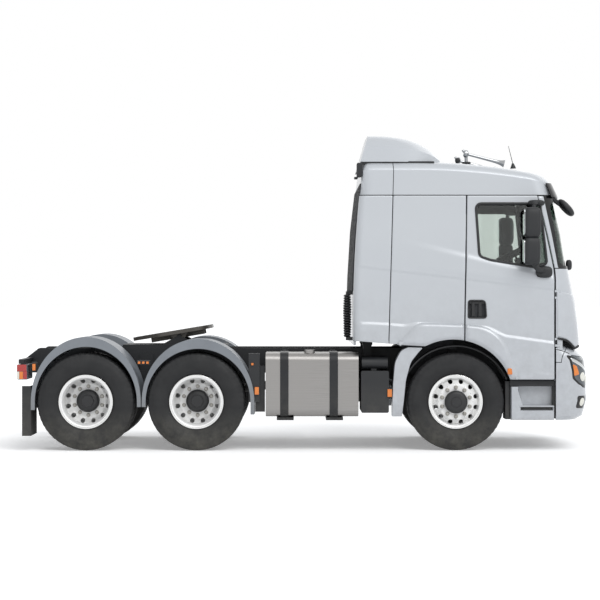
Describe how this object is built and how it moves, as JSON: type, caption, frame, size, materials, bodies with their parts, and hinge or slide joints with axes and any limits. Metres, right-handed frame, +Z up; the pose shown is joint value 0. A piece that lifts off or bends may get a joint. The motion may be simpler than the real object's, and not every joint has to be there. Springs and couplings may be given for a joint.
{
  "type": "semi truck tractor unit",
  "caption": "Cab-over tractor unit on three axles with a tilting sleeper cab, opening doors, steered front wheels, twin-tyred driven wheels and a rocking fifth wheel.",
  "frame": {"origin": "on the ground, half way between the bumper's front and the tail, on the centre plane", "axes": "+X forward, +Y to the vehicle's left, +Z up"},
  "size_m": [6.6616, 3.044, 3.6649],
  "materials": {
    "cab_paint": "gloss silver",
    "frame_paint": "satin black",
    "engine_paint": "satin",
    "tank_alloy": "brushed",
    "wheel_rim": "satin",
    "tyre": "matte",
    "black_plastic": "grained",
    "grey_plastic": "grained",
    "flap_rubber": "matte",
    "chromed_rod": "polished",
    "floor_trim": "matte",
    "seat_fabric": "woven",
    "lamp_lens": "clear over reflector",
    "window_glass": "tinted"
  },
  "bodies": {
    "chassis": {"frame_rail_left": "frame_paint", "frame_rail_right": "frame_paint", "crossmembers": "frame_paint", "front_axle": "frame_paint", "leaf_springs": "frame_paint", "drive_axles": "frame_paint", "engine_block": "engine_paint", "driveline": "frame_paint", "fuel_tank": "tank_alloy", "tank_straps": "frame_paint", "battery_box": "black_plastic", "exhaust_box": "tank_alloy", "rear_mudguards": "grey_plastic", "front_mudguards": "cab_paint", "mud_flaps": "flap_rubber", "lamps": "lamp_lens", "bumper": "cab_paint", "entry_steps": "cab_paint", "brackets": "frame_paint", "fifth_wheel_base": "frame_paint"},
    "cab": {"cab_sides": "cab_paint", "cab_rear": "cab_paint", "cab_roof": "cab_paint", "front_panel": "cab_paint", "grille": "black_plastic", "screen_surround": "cab_paint", "windscreen": "window_glass", "cab_floor": "floor_trim", "roof_deflector": "cab_paint", "visor_and_mirror": "black_plastic", "air_horns": "chromed_rod", "seats": "seat_fabric", "dashboard": "black_plastic", "air_lines": "flap_rubber"},
    "door_left": {"door_left": "cab_paint", "door_glass_left": "window_glass", "mirror_left": "black_plastic"},
    "door_right": {"door_right": "cab_paint", "door_glass_right": "window_glass", "mirror_right": "black_plastic"},
    "steering_wheel": {"steering_wheel": "black_plastic"},
    "knuckle_left": {"knuckle_left": "frame_paint"},
    "knuckle_right": {"knuckle_right": "frame_paint"},
    "tie_rod": {"tie_rod": "frame_paint"},
    "front_wheel_left": {"tyre_front_left": "tyre", "rim_front_left": "wheel_rim"},
    "front_wheel_right": {"tyre_front_right": "tyre", "rim_front_right": "wheel_rim"},
    "mid_wheels_left": {"tyres_mid_left": "tyre", "rims_mid_left": "wheel_rim"},
    "mid_wheels_right": {"tyres_mid_right": "tyre", "rims_mid_right": "wheel_rim"},
    "rear_wheels_left": {"tyres_rear_left": "tyre", "rims_rear_left": "wheel_rim"},
    "rear_wheels_right": {"tyres_rear_right": "tyre", "rims_rear_right": "wheel_rim"},
    "fifth_wheel_plate": {"fifth_wheel_plate": "frame_paint"},
    "tilt_barrel": {"tilt_barrel": "frame_paint"},
    "tilt_rod": {"tilt_rod": "chromed_rod"}
  },
  "joints": [
    {"name": "cab_tilt", "type": "hinge", "parent": "chassis", "child": "cab", "pos_m": [3.18, 0, 1.01], "axis": [0, 1, 0], "range_deg": [0, 55]},
    {"name": "door_left_hinge", "type": "hinge", "parent": "cab", "child": "door_left", "pos_m": [2.8695, 1.241, 1.525], "axis": [0, 0, -1], "range_deg": [0, 70]},
    {"name": "door_right_hinge", "type": "hinge", "parent": "cab", "child": "door_right", "pos_m": [2.8695, -1.241, 1.525], "axis": [0, 0, 1], "range_deg": [0, 70]},
    {"name": "steer_left", "type": "hinge", "parent": "chassis", "child": "knuckle_left", "pos_m": [1.7325, 0.925, 0.562], "axis": [0, 0, 1], "range_deg": [-38, 38]},
    {"name": "steer_right", "type": "hinge", "parent": "chassis", "child": "knuckle_right", "pos_m": [1.7325, -0.925, 0.562], "axis": [0, 0, 1], "range_deg": [-38, 38]},
    {"name": "tie_rod_pivot", "type": "hinge", "parent": "knuckle_left", "child": "tie_rod", "pos_m": [1.5425, 0.82, 0.385], "axis": [0, 0, 1], "range_deg": [-43, 43]},
    {"name": "steering_wheel_spin", "type": "hinge", "parent": "cab", "child": "steering_wheel", "pos_m": [2.5975, 0.64, 2.335], "axis": [-0.4202, 0, 0.9074], "range_deg": [-684, 684]},
    {"name": "front_wheel_left_spin", "type": "hinge", "parent": "knuckle_left", "child": "front_wheel_left", "pos_m": [1.7325, 1.045, 0.562], "axis": [0, 1, 0], "continuous": true},
    {"name": "front_wheel_right_spin", "type": "hinge", "parent": "knuckle_right", "child": "front_wheel_right", "pos_m": [1.7325, -1.045, 0.562], "axis": [0, 1, 0], "continuous": true},
    {"name": "mid_wheels_left_spin", "type": "hinge", "parent": "chassis", "child": "mid_wheels_left", "pos_m": [-1.2575, 1.079, 0.562], "axis": [0, 1, 0], "continuous": true},
    {"name": "mid_wheels_right_spin", "type": "hinge", "parent": "chassis", "child": "mid_wheels_right", "pos_m": [-1.2575, -1.079, 0.562], "axis": [0, 1, 0], "continuous": true},
    {"name": "rear_wheels_left_spin", "type": "hinge", "parent": "chassis", "child": "rear_wheels_left", "pos_m": [-2.5325, 1.079, 0.562], "axis": [0, 1, 0], "continuous": true},
    {"name": "rear_wheels_right_spin", "type": "hinge", "parent": "chassis", "child": "rear_wheels_right", "pos_m": [-2.5325, -1.079, 0.562], "axis": [0, 1, 0], "continuous": true},
    {"name": "fifth_wheel_rock", "type": "hinge", "parent": "chassis", "child": "fifth_wheel_plate", "pos_m": [-1.5095, 0, 1.3], "axis": [0, 1, 0], "range_deg": [0, 20]},
    {"name": "tilt_barrel_swing", "type": "hinge", "parent": "chassis", "child": "tilt_barrel", "pos_m": [2.3825, -0.625, 0.66], "axis": [0, 1, 0], "range_deg": [0, 10.51]},
    {"name": "tilt_rod_slide", "type": "slide", "parent": "tilt_barrel", "child": "tilt_rod", "axis": [0.4831, 0, 0.8756], "range_m": [0, 0.4652]}
  ],
  "couplings": [
    {"joint": "steer_right", "follows": "steer_left", "ratio": 1},
    {"joint": "tie_rod_pivot", "follows": "steer_left", "ratio": -1.128},
    {"joint": "steering_wheel_spin", "follows": "steer_left", "ratio": 18},
    {"joint": "tilt_barrel_swing", "follows": "cab_tilt", "ratio": 0.18749},
    {"joint": "tilt_rod_slide", "follows": "cab_tilt", "m_per_rad": 0.48355}
  ]
}
